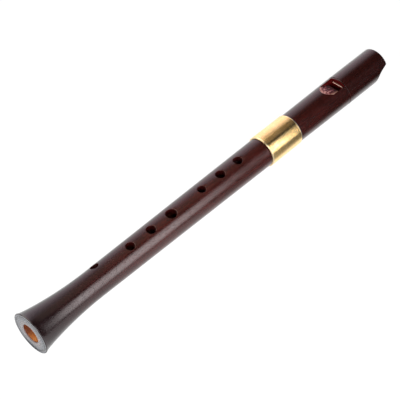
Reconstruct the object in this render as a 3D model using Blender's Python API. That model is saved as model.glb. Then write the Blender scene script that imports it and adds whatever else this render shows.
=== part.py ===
"""Renaissance soprano recorder, lying on its side with the bore along +X and the finger holes up.

The foot's end face is at -X and the beak at +X. Distances called "from the foot" or "from the tip"
run along the bore. Heights are measured from the bore's axis towards the finger holes.
"""
import math

import bmesh
import bpy
from mathutils import Matrix, Vector

# Fits and facets
CLEARANCE = 0.0003
TURNED_SIDES = 64
HOLE_SIDES = 24
FLARE_STEPS = 10
FLARE_STEP_SPACING = 1.6
FOOT_BORE_STEPS = 4
ARC_STEPS = 4
BLOCK_ARC_STEPS = 48
SMOOTH_ANGLE = math.radians(35)
MERGE_DISTANCE = 1e-7
CUTTER_REACH = 0.004

# Body joint, with the foot in one piece
BODY_LENGTH = 0.2079
BELL_RADIUS = 0.01515
BELL_LIP_SPREAD = 0.0005
BELL_LIP_LENGTH = 0.0016
BELL_EDGE_ROUND = 0.0005
FLARE_LENGTH = 0.055
FLARE_CURVE = 2.1
WAIST_RADIUS = 0.00975
BODY_SHOULDER_RADIUS = 0.01085
SHOULDER_CHAMFER = 0.0004

# Bore
FOOT_BORE_RADIUS = 0.0069
FOOT_BORE_CURVE = 1.5
CHOKE_RADIUS = 0.0057
CHOKE_FROM_FOOT = 0.058
JOINT_BORE_RADIUS = 0.0070
HEAD_BORE_RADIUS = 0.0073

# Finger holes: distance from the foot, radius and turn round the bore towards the player's right
FINGER_HOLES = (
    (0.1847, 0.00335, 3.0),
    (0.1678, 0.00345, 3.0),
    (0.1499, 0.00300, 2.0),
    (0.1215, 0.00390, 1.0),
    (0.1032, 0.00335, 0.5),
    (0.0847, 0.00320, 0.0),
    (0.0586, 0.00300, 36.0),
)
THUMB_HOLE_FROM_FOOT = 0.1935
THUMB_HOLE_RADIUS = 0.0028

# Brass sleeve that joins the head to the body
SLEEVE_LENGTH = 0.0292
SLEEVE_RADIUS = 0.0118
SLEEVE_WALL = 0.0012
SLEEVE_EDGE_ROUND = 0.0003

# Tenons inside the sleeve and their cork lappings
BODY_TENON_LENGTH = 0.0185
TENON_END_GAP = 0.0006
LAPPING_THICKNESS = 0.0009
BODY_LAPPING_LENGTH = 0.0130
HEAD_LAPPING_LENGTH = 0.0056

# Head joint, which stands turned a little in the sleeve towards the player's right
HEAD_TURN = math.radians(5.6)
HEAD_LENGTH = 0.0923
HEAD_SHOULDER_RADIUS = 0.0111
HEAD_RADIUS = 0.0116
TIP_ROUND = 0.0009
RING_FROM_TIP = 0.0411
RING_WIDTH = 0.0006
RING_DEPTH = 0.0003

# Window and labium
WINDOW_FROM_TIP = 0.0422
CUT_UP = 0.0048
RAMP_LENGTH = 0.0125
LABIUM_EDGE_RISE = 0.00025
LABIUM_THICKNESS = 0.0003
LABIUM_EDGE_FACE = 0.00003
LABIUM_UNDERCUT = 0.0060
UNDERCUT_RISE = 0.0006
WINDOW_SIDE_LEAN = math.radians(30)

# Windway, between the head's roof above and the block below
WINDWAY_WIDTH = 0.0100
WINDWAY_ENTRY_WIDTH = 0.0116
WINDWAY_FLOOR_DROP = 0.00010
WINDWAY_EXIT_HEIGHT = 0.0010
WINDWAY_ENTRY_HEIGHT = 0.0015
WINDWAY_CHAMFER = 0.0005

# Beak cut on the underside
BEAK_CUT_FROM_TIP = 0.0094
BEAK_TIP_HEIGHT = 0.0053
BEAK_SLOPE = math.radians(21.4)
BEAK_WALL_SLOPE = math.radians(68)
BEAK_CORNER_RADIUS = 0.0097

# Finishes: colour and roughness
STAINED_WOOD = ((0.035, 0.010, 0.009), 0.42)
CEDAR = ((0.42, 0.17, 0.10), 0.65)
BRASS = ((0.86, 0.62, 0.28), 0.22)
CORK = ((0.50, 0.31, 0.17), 0.85)

# Places that follow from the sizes above, as distances from the foot
SLEEVE_START = BODY_LENGTH + CLEARANCE
SLEEVE_END = SLEEVE_START + SLEEVE_LENGTH
HEAD_SHOULDER = SLEEVE_END + CLEARANCE
TIP = HEAD_SHOULDER + HEAD_LENGTH
BODY_TENON_END = BODY_LENGTH + BODY_TENON_LENGTH
HEAD_TENON_START = BODY_TENON_END + TENON_END_GAP
WINDOW_WALL = TIP - WINDOW_FROM_TIP
LABIUM_EDGE = WINDOW_WALL - CUT_UP
AXIS_HEIGHT = BELL_RADIUS * math.cos(math.pi / TURNED_SIDES)

# Radii and heights that follow
SLEEVE_BORE_RADIUS = SLEEVE_RADIUS - SLEEVE_WALL
LAPPING_RADIUS = SLEEVE_BORE_RADIUS - CLEARANCE
LAPPING_SEAT_RADIUS = LAPPING_RADIUS - LAPPING_THICKNESS - CLEARANCE
TENON_RADIUS = LAPPING_RADIUS - CLEARANCE
BLOCK_RADIUS = HEAD_BORE_RADIUS - CLEARANCE
WINDWAY_FLOOR = HEAD_BORE_RADIUS - WINDWAY_FLOOR_DROP
LABIUM_HEIGHT = HEAD_BORE_RADIUS + LABIUM_EDGE_RISE
UNDERCUT_HEIGHT = LABIUM_HEIGHT - LABIUM_THICKNESS


def x_at(from_foot):
    """World X of a distance from the foot, with the origin at the instrument's middle."""
    return from_foot - TIP / 2


def clear_scene():
    for item in list(bpy.data.objects):
        bpy.data.objects.remove(item, do_unlink=True)


def make_axis(name, height=0.0, turn=0.0, parent=None):
    """An empty on the bore's axis, which pieces hang from."""
    axis = bpy.data.objects.new(name, None)
    bpy.context.collection.objects.link(axis)
    axis.location = (0, 0, height)
    axis.rotation_euler = (turn, 0, 0)
    axis.parent = parent
    return axis


def make_material(name, finish, metallic=0.0):
    colour, roughness = finish
    material = bpy.data.materials.new(name)
    material.use_nodes = True
    shader = material.node_tree.nodes["Principled BSDF"]
    shader.inputs["Base Color"].default_value = (*colour, 1.0)
    shader.inputs["Roughness"].default_value = roughness
    shader.inputs["Metallic"].default_value = metallic
    return material


def link_mesh(name, mesh_data, parent, material=None):
    """Turn a bmesh into a named object on its axis, smooth where its faces nearly line up."""
    mesh = bpy.data.meshes.new(name)
    mesh_data.to_mesh(mesh)
    mesh_data.free()
    mesh.shade_smooth()
    mesh.set_sharp_from_angle(angle=SMOOTH_ANGLE)
    item = bpy.data.objects.new(name, mesh)
    bpy.context.collection.objects.link(item)
    item.parent = parent
    if material:
        mesh.materials.append(material)
    return item


def turned(name, profile, parent, material):
    """Spin a closed profile of (x, radius) points round the bore's axis."""
    shape = bmesh.new()
    half_facet = Matrix.Rotation(math.pi / TURNED_SIDES, 3, "X")
    points = [shape.verts.new(half_facet @ Vector((x, 0, radius))) for x, radius in profile]
    edges = [shape.edges.new((a, b)) for a, b in zip(points, points[1:] + points[:1])]
    bmesh.ops.spin(shape, geom=points + edges, cent=(0, 0, 0), axis=(1, 0, 0), angle=math.tau,
                   steps=TURNED_SIDES, use_merge=True)
    bmesh.ops.remove_doubles(shape, verts=shape.verts, dist=MERGE_DISTANCE)
    bmesh.ops.recalc_face_normals(shape, faces=shape.faces)
    return link_mesh(name, shape, parent, material)


def prism(name, outline, half_width, parent):
    """A cutter: an outline of (x, height) points, as deep to each side as half_width."""
    shape = bmesh.new()
    near = [shape.verts.new((x, -half_width, z)) for x, z in outline]
    face = shape.faces.new(near)
    pushed = bmesh.ops.extrude_face_region(shape, geom=[face])
    moved = [v for v in pushed["geom"] if isinstance(v, bmesh.types.BMVert)]
    bmesh.ops.translate(shape, verts=moved, vec=(0, 2 * half_width, 0))
    bmesh.ops.recalc_face_normals(shape, faces=shape.faces)
    return as_cutter(link_mesh(name, shape, parent))


def join_rings(shape, rings):
    """Close a shape through rings of as many points each, and cap its ends."""
    for ring, following in zip(rings, rings[1:]):
        for i in range(len(ring)):
            j = (i + 1) % len(ring)
            shape.faces.new((ring[i], ring[j], following[j], following[i]))
    shape.faces.new(rings[0])
    shape.faces.new(rings[-1])
    bmesh.ops.recalc_face_normals(shape, faces=shape.faces)


def loft(name, sections, parent):
    """A cutter through sections, each (x, half width low, z low, half width high, z high)."""
    shape = bmesh.new()
    rings = []
    for x, low_half, low, high_half, high in sections:
        corners = ((-low_half, low), (low_half, low), (high_half, high), (-high_half, high))
        rings.append([shape.verts.new((x, y, z)) for y, z in corners])
    join_rings(shape, rings)
    return as_cutter(link_mesh(name, shape, parent))


def as_cutter(item):
    item.hide_render = True
    item.display_type = "WIRE"
    return item


def cut(item, cutter):
    modifier = item.modifiers.new(cutter.name, "BOOLEAN")
    modifier.operation = "DIFFERENCE"
    modifier.solver = "EXACT"
    modifier.object = cutter


def rounded_corner(x, radius, size, inward):
    """A quarter round on the outer corner at x; inward is +1 where the piece lies at +X."""
    points = []
    for i in range(ARC_STEPS + 1):
        turn = math.pi / 2 * i / ARC_STEPS
        along = inward * size * (1 - math.sin(turn))
        points.append((x + along, radius - size * (1 - math.cos(turn))))
    return points


def body_radius(from_foot):
    """Outer radius of the body: a long taper, with the bell's flare and lip added near the foot."""
    from_rim = from_foot - BELL_EDGE_ROUND
    taper_rate = (BODY_SHOULDER_RADIUS - WAIST_RADIUS) / (BODY_LENGTH - FLARE_LENGTH)
    taper = WAIST_RADIUS + taper_rate * (from_foot - FLARE_LENGTH)
    rim_taper = WAIST_RADIUS - taper_rate * (FLARE_LENGTH - BELL_EDGE_ROUND)
    flare_size = BELL_RADIUS - BELL_LIP_SPREAD - rim_taper
    flare = flare_size * max(0.0, 1 - from_rim / (FLARE_LENGTH - BELL_EDGE_ROUND)) ** FLARE_CURVE
    lip = BELL_LIP_SPREAD * math.exp(-from_rim / BELL_LIP_LENGTH)
    return taper + flare + lip


def foot_bore_radius(from_foot):
    """Bore radius between the foot and the choke: it opens faster towards the foot."""
    opening = max(0.0, 1 - from_foot / CHOKE_FROM_FOOT)
    return CHOKE_RADIUS + (FOOT_BORE_RADIUS - CHOKE_RADIUS) * opening ** FOOT_BORE_CURVE


def flare_profile():
    """Outer points from behind the rim to the waist, closer together near the rim."""
    points = []
    for i in range(1, FLARE_STEPS + 1):
        share = (i / FLARE_STEPS) ** FLARE_STEP_SPACING
        from_foot = BELL_EDGE_ROUND + (FLARE_LENGTH - BELL_EDGE_ROUND) * share
        points.append((x_at(from_foot), body_radius(from_foot)))
    return points


def body_bore_profile():
    """Bore points from the tenon's end to the choke, and on to the foot's mouth."""
    points = [(x_at(BODY_TENON_END), JOINT_BORE_RADIUS)]
    for i in range(FOOT_BORE_STEPS + 1):
        from_foot = CHOKE_FROM_FOOT * (1 - i / FOOT_BORE_STEPS)
        points.append((x_at(from_foot), foot_bore_radius(from_foot)))
    return points


def tenon_profile(shoulder, end, lapping_start, lapping_length, shoulder_radius):
    """Outer points from a shoulder to a tenon's end, with the seat that the lapping lies in."""
    way = 1 if end > shoulder else -1
    seat = (lapping_start - CLEARANCE * way, lapping_start + (lapping_length + CLEARANCE) * way)
    return [
        (x_at(shoulder - SHOULDER_CHAMFER * way), shoulder_radius),
        (x_at(shoulder), shoulder_radius - SHOULDER_CHAMFER),
        (x_at(shoulder), TENON_RADIUS),
        (x_at(seat[0]), TENON_RADIUS),
        (x_at(seat[0]), LAPPING_SEAT_RADIUS),
        (x_at(seat[1]), LAPPING_SEAT_RADIUS),
        (x_at(seat[1]), TENON_RADIUS),
        (x_at(end - SHOULDER_CHAMFER * way), TENON_RADIUS),
        (x_at(end), TENON_RADIUS - SHOULDER_CHAMFER),
    ]


def lapping_start(shoulder, end, length):
    """A lapping lies in the middle of its tenon."""
    way = 1 if end > shoulder else -1
    return (shoulder + end - length * way) / 2


def hole_cutter(name, from_foot, radius, turn, parent):
    """A round cutter from inside the bore outwards, turned round the bore's axis."""
    reach = body_radius(from_foot) + CUTTER_REACH
    shape = bmesh.new()
    place = Matrix.Rotation(turn, 4, "X") @ Matrix.Translation((x_at(from_foot), 0, reach / 2))
    bmesh.ops.create_cone(shape, cap_ends=True, segments=HOLE_SIDES, radius1=radius,
                          radius2=radius, depth=reach, matrix=place)
    return as_cutter(link_mesh(name, shape, parent))


def make_body_joint(parent, material):
    """The body and foot: bell, taper, tenon, bore, seven finger holes and the thumb hole."""
    rim = rounded_corner(x_at(0), BELL_RADIUS, BELL_EDGE_ROUND, 1)
    start = lapping_start(BODY_LENGTH, BODY_TENON_END, BODY_LAPPING_LENGTH)
    tenon = tenon_profile(BODY_LENGTH, BODY_TENON_END, start, BODY_LAPPING_LENGTH,
                          BODY_SHOULDER_RADIUS)
    profile = rim[::-1] + flare_profile() + tenon + body_bore_profile()
    body = turned("body_joint", profile, parent, material)
    for number, (from_foot, radius, turn) in enumerate(FINGER_HOLES, start=1):
        turn = -math.radians(turn)
        cut(body, hole_cutter(f"finger_hole_{number}", from_foot, radius, turn, parent))
    cut(body, hole_cutter("thumb_hole", THUMB_HOLE_FROM_FOOT, THUMB_HOLE_RADIUS, math.pi, parent))
    return body


def make_sleeve(parent, material):
    """The brass sleeve: a plain tube with rounded outer edges."""
    left = rounded_corner(x_at(SLEEVE_START), SLEEVE_RADIUS, SLEEVE_EDGE_ROUND, 1)
    right = rounded_corner(x_at(SLEEVE_END), SLEEVE_RADIUS, SLEEVE_EDGE_ROUND, -1)
    bore = [(x_at(SLEEVE_END), SLEEVE_BORE_RADIUS), (x_at(SLEEVE_START), SLEEVE_BORE_RADIUS)]
    return turned("sleeve", left[::-1] + right + bore, parent, material)


def make_lapping(name, start, length, parent, material):
    """A cork lapping: a band let into its tenon, a little proud of it."""
    ends = (x_at(start), x_at(start + length))
    inner = LAPPING_RADIUS - LAPPING_THICKNESS
    outer = [(ends[0], LAPPING_RADIUS), (ends[1], LAPPING_RADIUS)]
    return turned(name, [(ends[0], inner), *outer, (ends[1], inner)], parent, material)


def head_profile():
    """Outer and inner points of the head before its window, windway and beak are cut."""
    start = lapping_start(HEAD_SHOULDER, HEAD_TENON_START, HEAD_LAPPING_LENGTH)
    tenon = tenon_profile(HEAD_SHOULDER, HEAD_TENON_START, start, HEAD_LAPPING_LENGTH,
                          HEAD_SHOULDER_RADIUS)
    ring = TIP - RING_FROM_TIP
    outer = [
        (x_at(ring - RING_WIDTH / 2), HEAD_RADIUS),
        (x_at(ring), HEAD_RADIUS - RING_DEPTH),
        (x_at(ring + RING_WIDTH / 2), HEAD_RADIUS),
    ]
    tip = rounded_corner(x_at(TIP), HEAD_RADIUS, TIP_ROUND, -1)
    bore = [(x_at(TIP), HEAD_BORE_RADIUS), (x_at(HEAD_TENON_START), HEAD_BORE_RADIUS)]
    return tenon[::-1] + outer + tip + bore


def windway_half_width(from_foot):
    """Half the windway's width, which narrows from the tip to the window."""
    along = (from_foot - WINDOW_WALL) / WINDOW_FROM_TIP
    return (WINDWAY_WIDTH + (WINDWAY_ENTRY_WIDTH - WINDWAY_WIDTH) * along) / 2


def windway_roof(from_foot):
    """Height of the windway's roof, which rises from the window to the tip."""
    along = (from_foot - WINDOW_WALL) / WINDOW_FROM_TIP
    height = WINDWAY_EXIT_HEIGHT + (WINDWAY_ENTRY_HEIGHT - WINDWAY_EXIT_HEIGHT) * along
    return WINDWAY_FLOOR + height


def windway_cutter(parent):
    """The channel over the block, with a chamfer where it opens into the window."""
    exit_half = windway_half_width(WINDOW_WALL)
    exit_roof = windway_roof(WINDOW_WALL) + WINDWAY_CHAMFER
    sections = [
        (x_at(WINDOW_WALL) - CLEARANCE, exit_half, 0, exit_half, exit_roof),
        (x_at(WINDOW_WALL), exit_half, 0, exit_half, exit_roof),
    ]
    for from_foot in (WINDOW_WALL + WINDWAY_CHAMFER, TIP + CUTTER_REACH):
        half = windway_half_width(from_foot)
        sections.append((x_at(from_foot), half, 0, half, windway_roof(from_foot)))
    return loft("windway", sections, parent)


def window_cutter(parent):
    """The opening over the labium's edge and the ramp that rises from the edge to the surface."""
    slope = (HEAD_RADIUS - LABIUM_HEIGHT) / RAMP_LENGTH
    top = HEAD_RADIUS + CUTTER_REACH
    lean = math.tan(WINDOW_SIDE_LEAN)
    half = WINDWAY_WIDTH / 2
    top_half = half + (top - LABIUM_HEIGHT) * lean
    ramp_end = LABIUM_EDGE - RAMP_LENGTH - CUTTER_REACH / 2
    ramp_top = LABIUM_HEIGHT + (LABIUM_EDGE - ramp_end) * slope
    ramp_half = half + (ramp_top - LABIUM_HEIGHT) * lean
    return loft("window", [
        (x_at(ramp_end), ramp_half, ramp_top, top_half, top),
        (x_at(LABIUM_EDGE), half, LABIUM_HEIGHT, top_half, top),
        (x_at(WINDOW_WALL), half, LABIUM_HEIGHT, top_half, top),
    ], parent)


def throat_cutter(parent):
    """The way from the bore up to the window, with the hollow under the labium's edge."""
    half = WINDWAY_WIDTH / 2
    start = LABIUM_EDGE - LABIUM_UNDERCUT
    above_edge = LABIUM_HEIGHT + CLEARANCE
    return loft("throat", [
        (x_at(start), half, 0, half, UNDERCUT_HEIGHT - UNDERCUT_RISE),
        (x_at(LABIUM_EDGE), half, 0, half, UNDERCUT_HEIGHT),
        (x_at(LABIUM_EDGE) + LABIUM_EDGE_FACE, half, 0, half, above_edge),
        (x_at(WINDOW_WALL), half, 0, half, above_edge),
    ], parent)


def beak_curve():
    """The beak's round as (x, height) points, from its slope to its wall."""
    wall_run = 1 / math.tan(BEAK_WALL_SLOPE)
    slope_rise = math.tan(BEAK_SLOPE)
    corner_z = (BEAK_TIP_HEIGHT - BEAK_CUT_FROM_TIP * slope_rise) / (1 - wall_run * slope_rise)
    corner = Vector((x_at(TIP - BEAK_CUT_FROM_TIP) + corner_z * wall_run, corner_z))
    turning = BEAK_WALL_SLOPE - BEAK_SLOPE
    to_touch = Vector((math.cos(BEAK_SLOPE), math.sin(BEAK_SLOPE))) * math.tan(turning / 2)
    to_centre = Vector((math.sin(BEAK_SLOPE), -math.cos(BEAK_SLOPE)))
    centre = corner + (to_touch + to_centre) * BEAK_CORNER_RADIUS
    points = []
    for i in range(2 * ARC_STEPS + 1):
        angle = math.pi / 2 + BEAK_SLOPE + turning * i / (2 * ARC_STEPS)
        reach = Vector((math.cos(angle), math.sin(angle))) * BEAK_CORNER_RADIUS
        points.append(tuple(centre + reach))
    return points


def beak_cutter(parent):
    """The hollow under the beak: a short wall and a long round that runs out to the tip."""
    bottom = -HEAD_RADIUS - CUTTER_REACH
    past_tip = x_at(TIP) + CUTTER_REACH
    outline = beak_curve()
    outline.append((x_at(TIP - BEAK_CUT_FROM_TIP) + bottom / math.tan(BEAK_WALL_SLOPE), bottom))
    outline.append((past_tip, bottom))
    outline.append((past_tip, BEAK_TIP_HEIGHT + CUTTER_REACH * math.tan(BEAK_SLOPE)))
    return prism("beak_cut", outline, HEAD_RADIUS + CUTTER_REACH, parent)


def make_head_joint(parent, material, beak):
    """The head: one turned piece with the window, the windway and the beak cut into it."""
    head = turned("head_joint", head_profile(), parent, material)
    for cutter in (windway_cutter(parent), window_cutter(parent), throat_cutter(parent), beak):
        cut(head, cutter)
    return head


def block_outline(half_width):
    """The block's section: a round plug with a flat key on top that fills the windway's foot."""
    side_turn = math.asin(half_width / BLOCK_RADIUS)
    points = [(-half_width, WINDWAY_FLOOR), (half_width, WINDWAY_FLOOR)]
    for i in range(BLOCK_ARC_STEPS + 1):
        turn = side_turn + (math.tau - 2 * side_turn) * i / BLOCK_ARC_STEPS
        points.append((BLOCK_RADIUS * math.sin(turn), BLOCK_RADIUS * math.cos(turn)))
    return points


def make_block(parent, material, beak):
    """The block, a plug whose flat top is the windway's floor, cut flush with the beak."""
    stations = (
        (WINDOW_WALL, WINDWAY_CHAMFER),
        (WINDOW_WALL + WINDWAY_CHAMFER, 0.0),
        (TIP, 0.0),
    )
    shape = bmesh.new()
    rings = []
    for from_foot, drop in stations:
        (left, top), (right, _), *under = block_outline(windway_half_width(from_foot) - CLEARANCE)
        outline = [(left, top - drop), (right, top - drop), *under]
        rings.append([shape.verts.new((x_at(from_foot), y, z)) for y, z in outline])
    join_rings(shape, rings)
    block = link_mesh("block", shape, parent, material)
    cut(block, beak)
    return block


def make_body_side(axis, wood, cork):
    """The body and its lapping."""
    make_body_joint(axis, wood)
    start = lapping_start(BODY_LENGTH, BODY_TENON_END, BODY_LAPPING_LENGTH)
    make_lapping("body_lapping", start, BODY_LAPPING_LENGTH, axis, cork)


def make_head_side(axis, wood, cork):
    """The head, its lapping and its block, turned together in the sleeve."""
    start = lapping_start(HEAD_SHOULDER, HEAD_TENON_START, HEAD_LAPPING_LENGTH)
    make_lapping("head_lapping", start - HEAD_LAPPING_LENGTH, HEAD_LAPPING_LENGTH, axis, cork)
    beak = beak_cutter(axis)
    make_head_joint(axis, wood, beak)
    make_block(axis, make_material("cedar", CEDAR), beak)


def make_recorder():
    clear_scene()
    bore_axis = make_axis("bore_axis", height=AXIS_HEIGHT)
    head_axis = make_axis("head_axis", turn=-HEAD_TURN, parent=bore_axis)
    wood = make_material("stained_wood", STAINED_WOOD)
    cork = make_material("cork", CORK)
    make_body_side(bore_axis, wood, cork)
    make_sleeve(bore_axis, make_material("brass", BRASS, metallic=1.0))
    make_head_side(head_axis, wood, cork)


make_recorder()
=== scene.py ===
# %% [markdown]
# # A renaissance soprano recorder
#
# The real instrument is three turned pieces: a body with its foot in one piece, a short brass
# sleeve, and a head with a cedar block pushed into it. It lies with its bore along X, the foot at
# -X, the beak at +X, and the finger holes up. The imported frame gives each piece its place, and
# this lesson builds the fine surfaces, the finishes, the light and the camera around it.

# %% Load the frame
import math

import bmesh
import bpy
from mathutils import Matrix, Quaternion, Vector


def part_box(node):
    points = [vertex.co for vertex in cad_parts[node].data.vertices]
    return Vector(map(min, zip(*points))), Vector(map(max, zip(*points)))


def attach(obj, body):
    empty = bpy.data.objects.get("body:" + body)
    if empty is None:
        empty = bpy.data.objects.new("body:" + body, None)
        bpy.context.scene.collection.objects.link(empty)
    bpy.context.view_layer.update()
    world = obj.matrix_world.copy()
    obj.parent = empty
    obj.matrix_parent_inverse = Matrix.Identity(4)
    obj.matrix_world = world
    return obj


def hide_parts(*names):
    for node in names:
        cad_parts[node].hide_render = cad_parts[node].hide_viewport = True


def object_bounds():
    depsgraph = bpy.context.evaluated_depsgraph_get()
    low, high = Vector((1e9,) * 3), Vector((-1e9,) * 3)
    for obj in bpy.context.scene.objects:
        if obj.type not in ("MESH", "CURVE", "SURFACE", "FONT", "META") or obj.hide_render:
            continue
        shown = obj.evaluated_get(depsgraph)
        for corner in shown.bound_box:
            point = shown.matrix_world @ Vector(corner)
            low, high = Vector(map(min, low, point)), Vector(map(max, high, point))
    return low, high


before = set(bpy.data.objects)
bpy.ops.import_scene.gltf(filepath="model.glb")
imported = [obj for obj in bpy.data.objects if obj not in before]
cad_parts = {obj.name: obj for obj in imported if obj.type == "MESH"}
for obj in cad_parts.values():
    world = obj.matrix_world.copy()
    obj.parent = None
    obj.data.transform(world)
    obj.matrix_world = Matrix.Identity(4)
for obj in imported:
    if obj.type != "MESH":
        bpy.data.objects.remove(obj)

MM = 0.001
cad_low, cad_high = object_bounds()
print("frame box, mm:", [round(v / MM, 1) for v in (*cad_low, *cad_high)])

# %% [markdown]
# ## Where everything lies
#
# A maker measures along the bore from the foot's end face, and across it from the bore's axis.
# Both are read from the frame, so the fine pieces lie exactly where the plain ones do. Each
# distance "from the foot" becomes a world X by adding it to the foot's own X.

# %% Places read from the frame
body_low, body_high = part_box("body_joint")
sleeve_low, sleeve_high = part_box("sleeve")
AXIS_Z = (body_low.z + body_high.z) / 2
BELL_RADIUS = (body_high.z - body_low.z) / 2
SLEEVE_RADIUS = (sleeve_high.z - sleeve_low.z) / 2
TIP = cad_high.x - cad_low.x


def x_at(from_foot):
    """World X of a distance from the foot."""
    return cad_low.x + from_foot


print(f"axis {AXIS_Z / MM:.2f} mm up, bell radius {BELL_RADIUS / MM:.2f} mm, "
      f"length {TIP / MM:.1f} mm")

# %% [markdown]
# ## The camera
#
# The photograph looks down on the recorder from beyond the foot, with a long lens, and is rolled
# so that the recorder runs up to the right. The place and the turn were worked out from the
# ellipse of the foot's rim and the rings of the sleeve, so they are written here as they are.

# %% Camera
LENS = 117.0
SENSOR_WIDTH = 36.0


def add_object(name, data):
    """A new object in the scene."""
    made = bpy.data.objects.new(name, data)
    bpy.context.scene.collection.objects.link(made)
    return made


camera = add_object("camera", bpy.data.cameras.new("camera"))
camera.data.lens = LENS
camera.data.sensor_width = SENSOR_WIDTH
camera.location = (-0.40571, -0.36812, 0.69356)
camera.rotation_euler = [math.radians(a) for a in (38.298, -0.906, -45.434)]
bpy.context.scene.camera = camera
print("picture is", round(math.degrees(2 * math.atan(SENSOR_WIDTH / 2 / LENS)), 2), "degrees wide")

# %% [markdown]
# ## Helpers for node trees
#
# Materials, the world and the turning tree below are all graphs of nodes. The helpers add one
# node, set its options, and feed each input a value or a wire from another node. The others are
# the small sums that every tree needs.

# %% Node helpers


def feed(tree, node, inputs):
    """Give a node's inputs plain values or other nodes' outputs."""
    for key, value in inputs.items():
        if isinstance(value, bpy.types.NodeSocket):
            tree.links.new(value, node.inputs[key])
        else:
            node.inputs[key].default_value = value


def put(tree, kind, inputs=None, **options):
    """Add a node with its options set and its inputs fed."""
    made = tree.nodes.new(kind)
    for name, value in options.items():
        setattr(made, name, value)
    feed(tree, made, inputs or {})
    return made


def maths(tree, operation, *values, clamp=False):
    """A Math node's result."""
    return put(tree, "ShaderNodeMath", dict(enumerate(values)),
               operation=operation, use_clamp=clamp).outputs[0]


def plus(tree, *values, **options):
    return maths(tree, "ADD", *values, **options)


def minus(tree, *values, **options):
    return maths(tree, "SUBTRACT", *values, **options)


def times(tree, *values):
    return maths(tree, "MULTIPLY", *values)


def over(tree, *values):
    return maths(tree, "DIVIDE", *values)


def split(tree, vector):
    """The X, Y and Z of a vector."""
    return put(tree, "ShaderNodeSeparateXYZ", {0: vector}).outputs


def span(tree, value, low, high, low_out=0.0, high_out=1.0, **options):
    """A value between low and high turned into a share between low_out and high_out."""
    inputs = {0: value, 1: low, 2: high, 3: low_out, 4: high_out}
    return put(tree, "ShaderNodeMapRange", inputs, **options).outputs[0]


# %% [markdown]
# ## Floor, backdrop and world
#
# The photograph has a pure white ground. The floor shows as white to the camera and to glossy
# surfaces through Light Path, while a share of it stays an ordinary white surface that receives
# the recorder's shadow. It is tipped by a little over half a degree, because the real recorder
# lies on its bell rim and on the underside of its head, which are not equally thick. The
# photograph's ground grows dark beside the head, so its reflection in the polish fades there.

# %% Floor
bpy.context.scene.view_settings.view_transform = "Standard"
HEAD_RADIUS = 11.6 * MM
HEAD_REST_FROM_FOOT = 317.6 * MM
FLOOR_REACH = 3.0
SHADOW_SHARE = 0.11
GROUND_SEEN, GROUND_REFLECTED = 1.10, 1.32
FADE_START, FADE_LENGTH = -28 * MM, 55 * MM


def seen_in_wood(tree):
    """How bright the ground looks in the polish, with painted shade: it fades beside the head and
    under the rim.
    """
    spot = split(tree, put(tree, "ShaderNodeTexCoord").outputs["Object"])
    # painted shade: the ground's reflection grows dark towards the head, in front of it
    towards_head = plus(tree, spot["X"], times(tree, spot["Y"], 0.3))
    gone = over(tree, minus(tree, towards_head, FADE_START), -FADE_LENGTH)
    fading = minus(tree, 1.0, maths(tree, "EXPONENT", gone), clamp=True)
    in_front = span(tree, spot["Y"], -18 * MM, -30 * MM)
    fading = times(tree, fading, in_front)
    # painted shade: the contact shadow under the foot's rim, as the polish reflects it
    from_rim = maths(tree, "ABSOLUTE", minus(tree, spot["X"], cad_low.x))
    open_ground = span(tree, from_rim, 0.5 * MM, 1.5 * MM)
    return times(tree, minus(tree, 1.0, fading), open_ground)


def shape_object(name, shape, finish):
    """A shape as an object with one finish."""
    mesh = bpy.data.meshes.new(name)
    shape.to_mesh(mesh)
    shape.free()
    mesh.materials.append(finish)
    return add_object(name, mesh)


def make_floor():
    tip = math.atan((BELL_RADIUS - HEAD_RADIUS) / HEAD_REST_FROM_FOOT)
    shape = bmesh.new()
    bmesh.ops.create_grid(shape, x_segments=1, y_segments=1, size=FLOOR_REACH)
    turn = Matrix.Translation((cad_low.x, 0, 0)) @ Matrix.Rotation(-tip, 4, "Y")
    bmesh.ops.transform(shape, matrix=turn, verts=shape.verts)
    paint = bpy.data.materials.new("white_ground")
    paint.use_nodes = True
    tree = paint.node_tree
    tree.nodes.clear()
    path = put(tree, "ShaderNodeLightPath").outputs
    matt = put(tree, "ShaderNodeBsdfDiffuse", {"Color": (0.8, 0.8, 0.8, 1)})
    reflected = times(tree, seen_in_wood(tree), GROUND_REFLECTED)
    level = put(tree, "ShaderNodeMix", {0: path["Is Glossy Ray"], 2: GROUND_SEEN, 3: reflected})
    glow = put(tree, "ShaderNodeEmission", {"Color": (1, 1, 1, 1), "Strength": level.outputs[0]})
    direct = times(tree, path["Is Camera Ray"], 1 - SHADOW_SHARE)
    indirect = plus(tree, path["Is Glossy Ray"], path["Is Transmission Ray"])
    share = plus(tree, direct, indirect, clamp=True)
    mixed = put(tree, "ShaderNodeMixShader", {0: share, 1: matt.outputs[0], 2: glow.outputs[0]})
    put(tree, "ShaderNodeOutputMaterial", {"Surface": mixed.outputs[0]})
    shape_object("floor", shape, paint)
    print(f"floor tipped {math.degrees(tip):.2f} degrees")


make_floor()

# %% [markdown]
# The world is white to the camera as well. For everything else it is a very dim fill, so that the
# lamps alone shape the reflections.

# %% World
WORLD_FILL = 0.06
world = bpy.data.worlds.new("studio")
bpy.context.scene.world = world
world.use_nodes = True
sky = world.node_tree
sky.nodes.clear()
level = put(sky, "ShaderNodeMix", {0: put(sky, "ShaderNodeLightPath").outputs["Is Camera Ray"],
                                   2: WORLD_FILL, 3: GROUND_SEEN})
ground = put(sky, "ShaderNodeBackground", {"Color": (1, 1, 1, 1), "Strength": level.outputs[0]})
put(sky, "ShaderNodeOutputWorld", {"Surface": ground.outputs[0]})

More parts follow.
